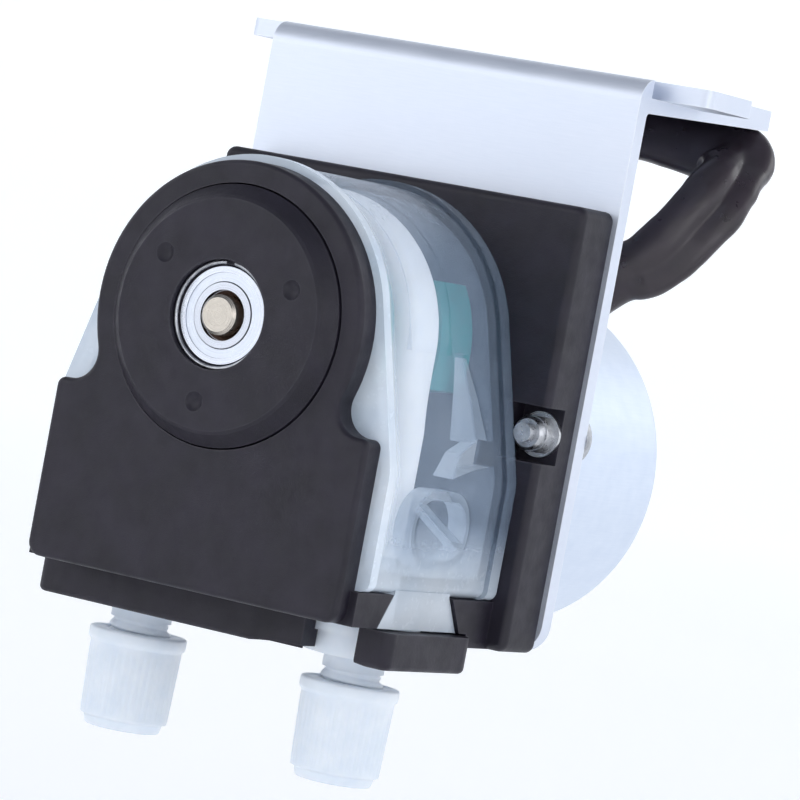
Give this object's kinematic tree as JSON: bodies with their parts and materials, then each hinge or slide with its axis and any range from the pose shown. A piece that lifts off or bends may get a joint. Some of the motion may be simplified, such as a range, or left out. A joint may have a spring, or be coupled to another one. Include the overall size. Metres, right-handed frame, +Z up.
{
  "type": "peristaltic pump",
  "caption": "Roller squeeze-tube dosing pump head with screw fittings, on a bent sheet bracket with a can-shaped gear motor behind it.",
  "frame": {"origin": "centre of the bracket flange's top face, midway between its two ears", "axes": "+X to the right seen from the front cover, +Y from the front cover back to the motor, +Z up"},
  "size_m": [0.0844, 0.0998, 0.1124],
  "materials": {
    "black_plastic": "fine moulded texture",
    "clear_housing": "translucent polished moulding",
    "teal_plastic": "smooth moulded",
    "natural_plastic": "milky translucent moulding",
    "roller_plastic": "smooth low-friction plastic",
    "soft_tube": "matte silicone",
    "bright_steel": "ground and polished",
    "plain_steel": "turned",
    "sheet_metal": "pale satin coating",
    "motor_metal": "smooth satin",
    "bronze": "sintered",
    "magnet": "pressed powder",
    "winding": "enamelled wire",
    "cable_sleeve": "soft glossy sleeve",
    "connector": "plain moulded"
  },
  "bodies": {
    "root": {"front_cover": "black_plastic", "bearing_cap": "black_plastic", "bearing_outer_ring": "bright_steel", "bearing_shields": "bright_steel", "bearing_snap_ring": "bright_steel", "pump_housing": "clear_housing", "pump_tube": "soft_tube", "inlet_fitting": "natural_plastic", "outlet_fitting": "natural_plastic", "fitting_retainer": "black_plastic", "base_frame": "black_plastic", "bracket": "sheet_metal", "motor_front_plate": "plain_steel", "shaft_bush": "bronze", "idler_axle": "plain_steel", "gear_plate": "plain_steel", "stator_coil": "winding", "spindle_bush": "bronze", "motor_can": "motor_metal", "cable_grommet": "cable_sleeve", "motor_screws": "plain_steel", "washers": "bright_steel", "lock_nuts": "bright_steel", "cable_sleeve": "cable_sleeve", "cable_connector": "connector"},
    "rotor": {"shaft": "plain_steel", "bearing_inner_ring": "bright_steel", "rotor_front_plate": "teal_plastic", "rotor_rear_carrier": "teal_plastic", "roller_pins": "plain_steel", "output_gear": "plain_steel"},
    "ball_set": {"bearing_balls": "bright_steel", "bearing_cage": "plain_steel"},
    "idler": {"idler_gear": "plain_steel"},
    "motor_rotor": {"motor_spindle": "plain_steel", "motor_pinion": "bronze", "motor_magnet": "magnet"},
    "inlet_ferrule": {"inlet_ferrule": "natural_plastic"},
    "inlet_nut": {"inlet_nut": "natural_plastic"},
    "outlet_ferrule": {"outlet_ferrule": "natural_plastic"},
    "outlet_nut": {"outlet_nut": "natural_plastic"},
    "roller_1": {"roller_1": "roller_plastic"},
    "roller_2": {"roller_2": "roller_plastic"},
    "roller_3": {"roller_3": "roller_plastic"}
  },
  "joints": [
    {"name": "rotor_spin", "type": "hinge", "parent": "root", "child": "rotor", "pos_m": [0, -0.043, -0.0468], "axis": [0, 1, 0], "continuous": true},
    {"name": "ball_spin", "type": "hinge", "parent": "root", "child": "ball_set", "pos_m": [0, -0.0637, -0.0468], "axis": [0, 1, 0], "continuous": true},
    {"name": "idler_spin", "type": "hinge", "parent": "root", "child": "idler", "pos_m": [0.00809, -0.005, -0.05633], "axis": [0, 1, 0], "continuous": true},
    {"name": "motor_spin", "type": "hinge", "parent": "root", "child": "motor_rotor", "pos_m": [0, 0.015, -0.0622], "axis": [0, 1, 0], "continuous": true},
    {"name": "roller_1_spin", "type": "hinge", "parent": "rotor", "child": "roller_1", "pos_m": [0.01119, -0.043, -0.04523], "axis": [0, 1, 0], "continuous": true},
    {"name": "roller_2_spin", "type": "hinge", "parent": "rotor", "child": "roller_2", "pos_m": [-0.00696, -0.043, -0.03789], "axis": [0, 1, 0], "continuous": true},
    {"name": "roller_3_spin", "type": "hinge", "parent": "rotor", "child": "roller_3", "pos_m": [-0.00423, -0.043, -0.05728], "axis": [0, 1, 0], "continuous": true},
    {"name": "inlet_ferrule_draw", "type": "slide", "parent": "root", "child": "inlet_ferrule", "axis": [0, 0, -1], "range_m": [0, 0.0045]},
    {"name": "inlet_nut_turn", "type": "hinge", "parent": "inlet_ferrule", "child": "inlet_nut", "pos_m": [-0.0193, -0.043, -0.1048], "axis": [0, 0, -1], "range_deg": [0, 1080]},
    {"name": "outlet_ferrule_draw", "type": "slide", "parent": "root", "child": "outlet_ferrule", "axis": [0, 0, -1], "range_m": [0, 0.0045]},
    {"name": "outlet_nut_turn", "type": "hinge", "parent": "outlet_ferrule", "child": "outlet_nut", "pos_m": [0.0193, -0.043, -0.1048], "axis": [0, 0, -1], "range_deg": [0, 1080]}
  ],
  "couplings": [
    {"joint": "ball_spin", "follows": "rotor_spin", "ratio": 0.4028},
    {"joint": "idler_spin", "follows": "rotor_spin", "ratio": -4},
    {"joint": "motor_spin", "follows": "rotor_spin", "ratio": 12},
    {"joint": "roller_1_spin", "follows": "rotor_spin", "ratio": -3.1731},
    {"joint": "roller_2_spin", "follows": "rotor_spin", "ratio": -3.1731},
    {"joint": "roller_3_spin", "follows": "rotor_spin", "ratio": -3.1731},
    {"joint": "inlet_nut_turn", "follows": "inlet_ferrule_draw", "rad_per_m": 4188.8},
    {"joint": "outlet_nut_turn", "follows": "outlet_ferrule_draw", "rad_per_m": 4188.8}
  ]
}
